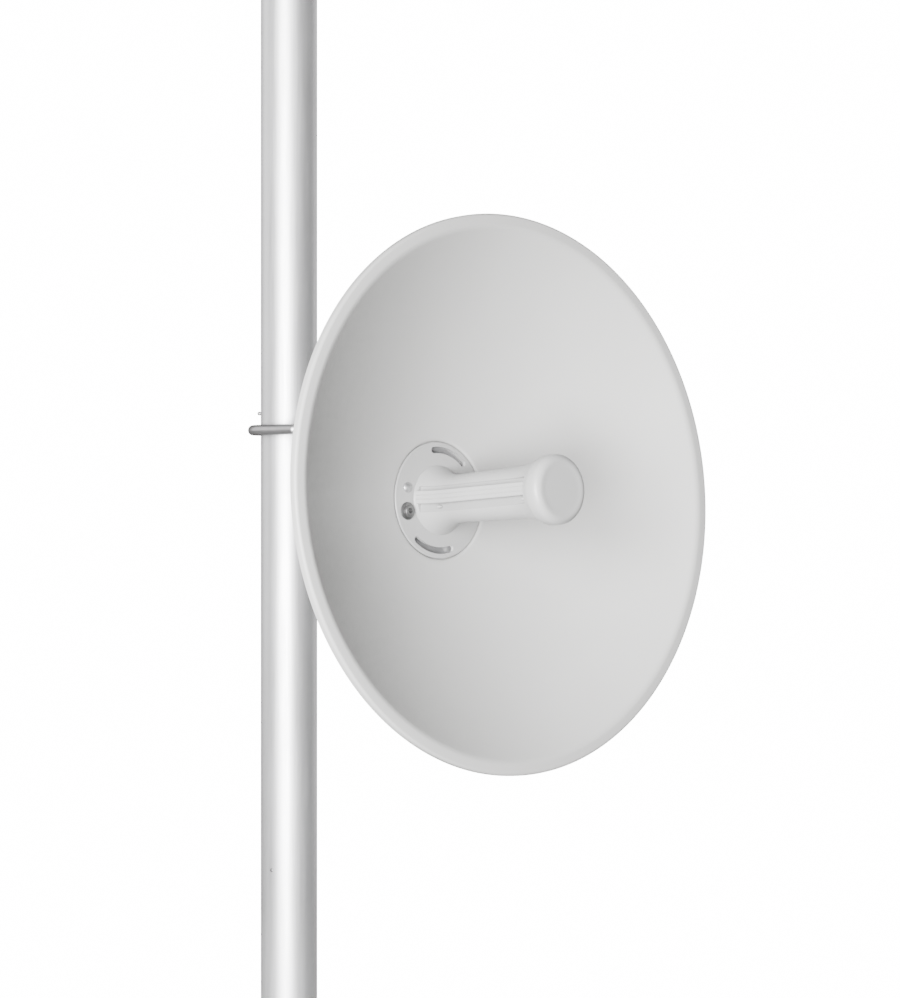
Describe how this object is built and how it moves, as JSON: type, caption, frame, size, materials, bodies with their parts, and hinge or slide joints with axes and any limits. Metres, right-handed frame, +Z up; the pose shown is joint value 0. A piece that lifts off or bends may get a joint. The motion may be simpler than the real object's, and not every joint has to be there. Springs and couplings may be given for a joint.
{
  "type": "wireless dish antenna on a tube mast",
  "caption": "Point-to-point dish antenna with a central feed tube, clamped to an upright tube mast by a U-bolt bracket that turns and tilts.",
  "frame": {"origin": "centre of the mast's bottom face", "axes": "+Z up along the mast, the dish looks along -Y and 3.5 degrees upward, +X to the right as seen from in front of it with -Y toward the viewer"},
  "size_m": [0.45, 0.3701, 1],
  "materials": {
    "mast_metal": "satin",
    "rod_steel": "satin",
    "zinc_steel": "satin",
    "dark_steel": "satin",
    "dish_paint": "satin",
    "radio_plastic": "satin",
    "black_plastic": "matte"
  },
  "bodies": {
    "mast": {"mast_tube": "mast_metal", "mast_foot_plug": "mast_metal", "mast_top_cap": "black_plastic", "mast_stud_upper": "dark_steel", "mast_stud_lower": "dark_steel"},
    "clamp": {"u_bolt": "rod_steel", "u_bolt_washer_left": "zinc_steel", "u_bolt_washer_right": "zinc_steel", "u_bolt_nut_left": "zinc_steel", "u_bolt_nut_right": "zinc_steel", "pole_bracket": "zinc_steel", "pivot_bolt": "zinc_steel", "pivot_nut": "zinc_steel", "lock_bolt_left": "zinc_steel", "lock_bolt_right": "zinc_steel", "lock_nut_left": "zinc_steel", "lock_nut_right": "zinc_steel"},
    "head": {"tilt_bracket": "zinc_steel", "mounting_ring": "zinc_steel", "dish_reflector": "dish_paint", "hub_flange": "radio_plastic", "feed_tube": "radio_plastic", "seam_strip_left": "radio_plastic", "seam_strip_right": "radio_plastic", "feed_catch_rear_left": "radio_plastic", "feed_catch_rear_right": "radio_plastic", "feed_catch_front_left": "radio_plastic", "feed_catch_front_right": "radio_plastic", "hub_bolt_upper_left": "dark_steel", "hub_bolt_upper_right": "dark_steel", "hub_bolt_lower_left": "dark_steel", "hub_bolt_lower_right": "dark_steel", "hub_nut_upper_left": "zinc_steel", "hub_nut_upper_right": "zinc_steel", "hub_nut_lower_left": "zinc_steel", "hub_nut_lower_right": "zinc_steel", "radio_housing": "radio_plastic", "radio_rear_cover": "radio_plastic", "cable_gland": "black_plastic", "grounding_screw": "dark_steel"}
  },
  "joints": [
    {"name": "azimuth_turn", "type": "hinge", "parent": "mast", "child": "clamp", "pos_m": [0, 0, 0.5586], "axis": [0, 0, 1], "range_deg": [-180, 180]},
    {"name": "elevation_tilt", "type": "hinge", "parent": "clamp", "child": "head", "pos_m": [0, -0.095, 0.5586], "axis": [-1, 0, 0], "range_deg": [-18.5, 16.5]}
  ]
}
